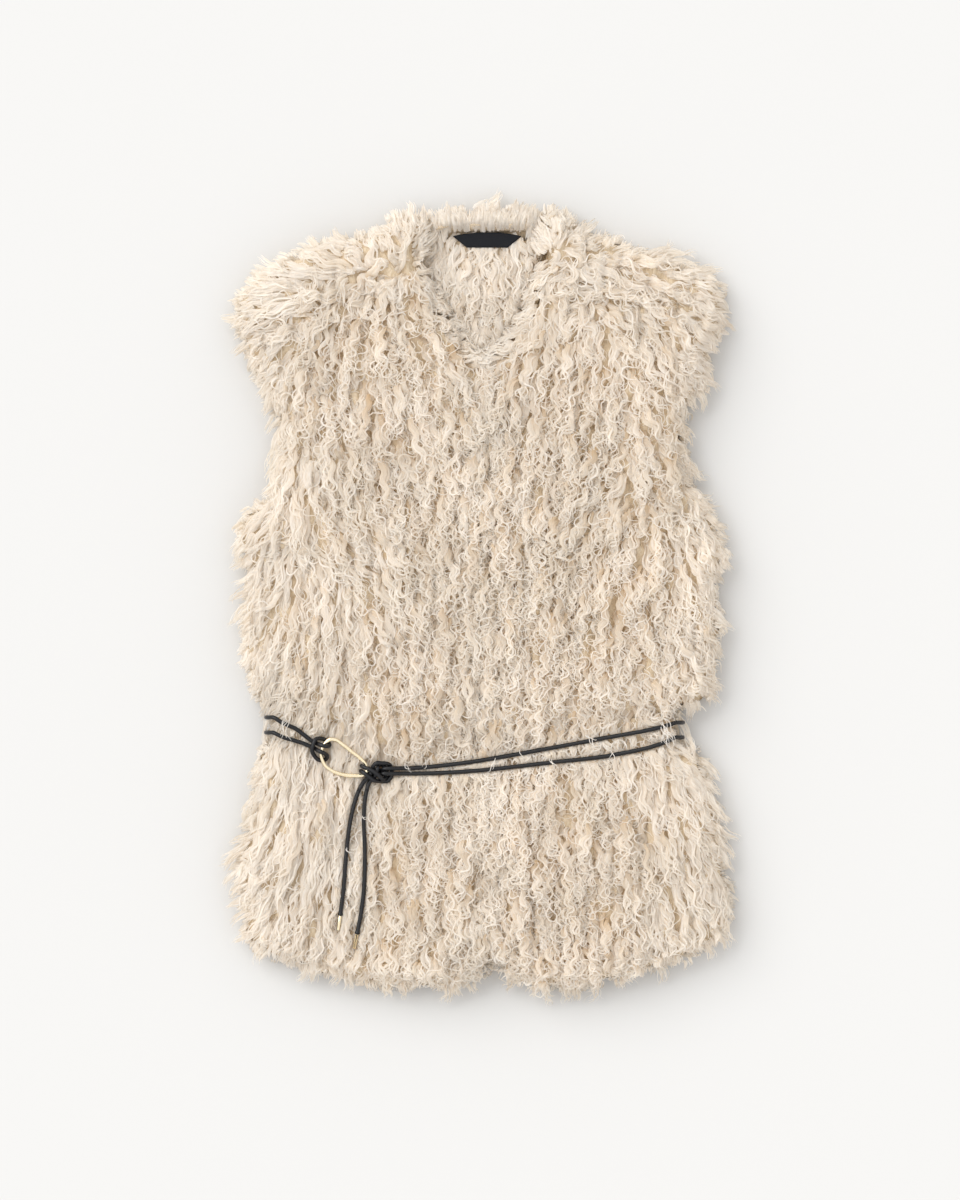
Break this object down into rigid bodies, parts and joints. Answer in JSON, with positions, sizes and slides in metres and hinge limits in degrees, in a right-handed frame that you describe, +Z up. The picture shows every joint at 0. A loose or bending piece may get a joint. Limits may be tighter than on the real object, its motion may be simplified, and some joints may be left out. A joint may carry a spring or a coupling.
{
  "type": "faux fur vest",
  "caption": "Sleeveless open-front vest of long shaggy cream pile, laid flat, with a doubled black cord belt hitched and knotted to a metal ring.",
  "frame": {"origin": "under the middle of the vest's outline, on the plane that it lies on", "axes": "+Y from the hem towards the neck, +X towards the wearer's left front, +Z up out of the fronts"},
  "size_m": [0.478, 0.75, 0.0478],
  "materials": {
    "fur": "long, wavy, clumped faux fur pile",
    "cord": "black round leather cord, soft sheen",
    "gold": "polished pale gold",
    "label": "woven, blank"
  },
  "bodies": {
    "root": {"back_panel": "fur", "front_right_panel": "fur", "front_left_panel": "fur", "back_neck_facing": "fur", "neck_label": "label", "belt_cord": "cord", "belt_knot_upper": "cord", "belt_knot_lower": "cord", "belt_tail_left": "cord", "belt_tail_right": "cord", "belt_ring": "gold", "belt_tip_left": "gold", "belt_tip_right": "gold"}
  },
  "joints": []
}
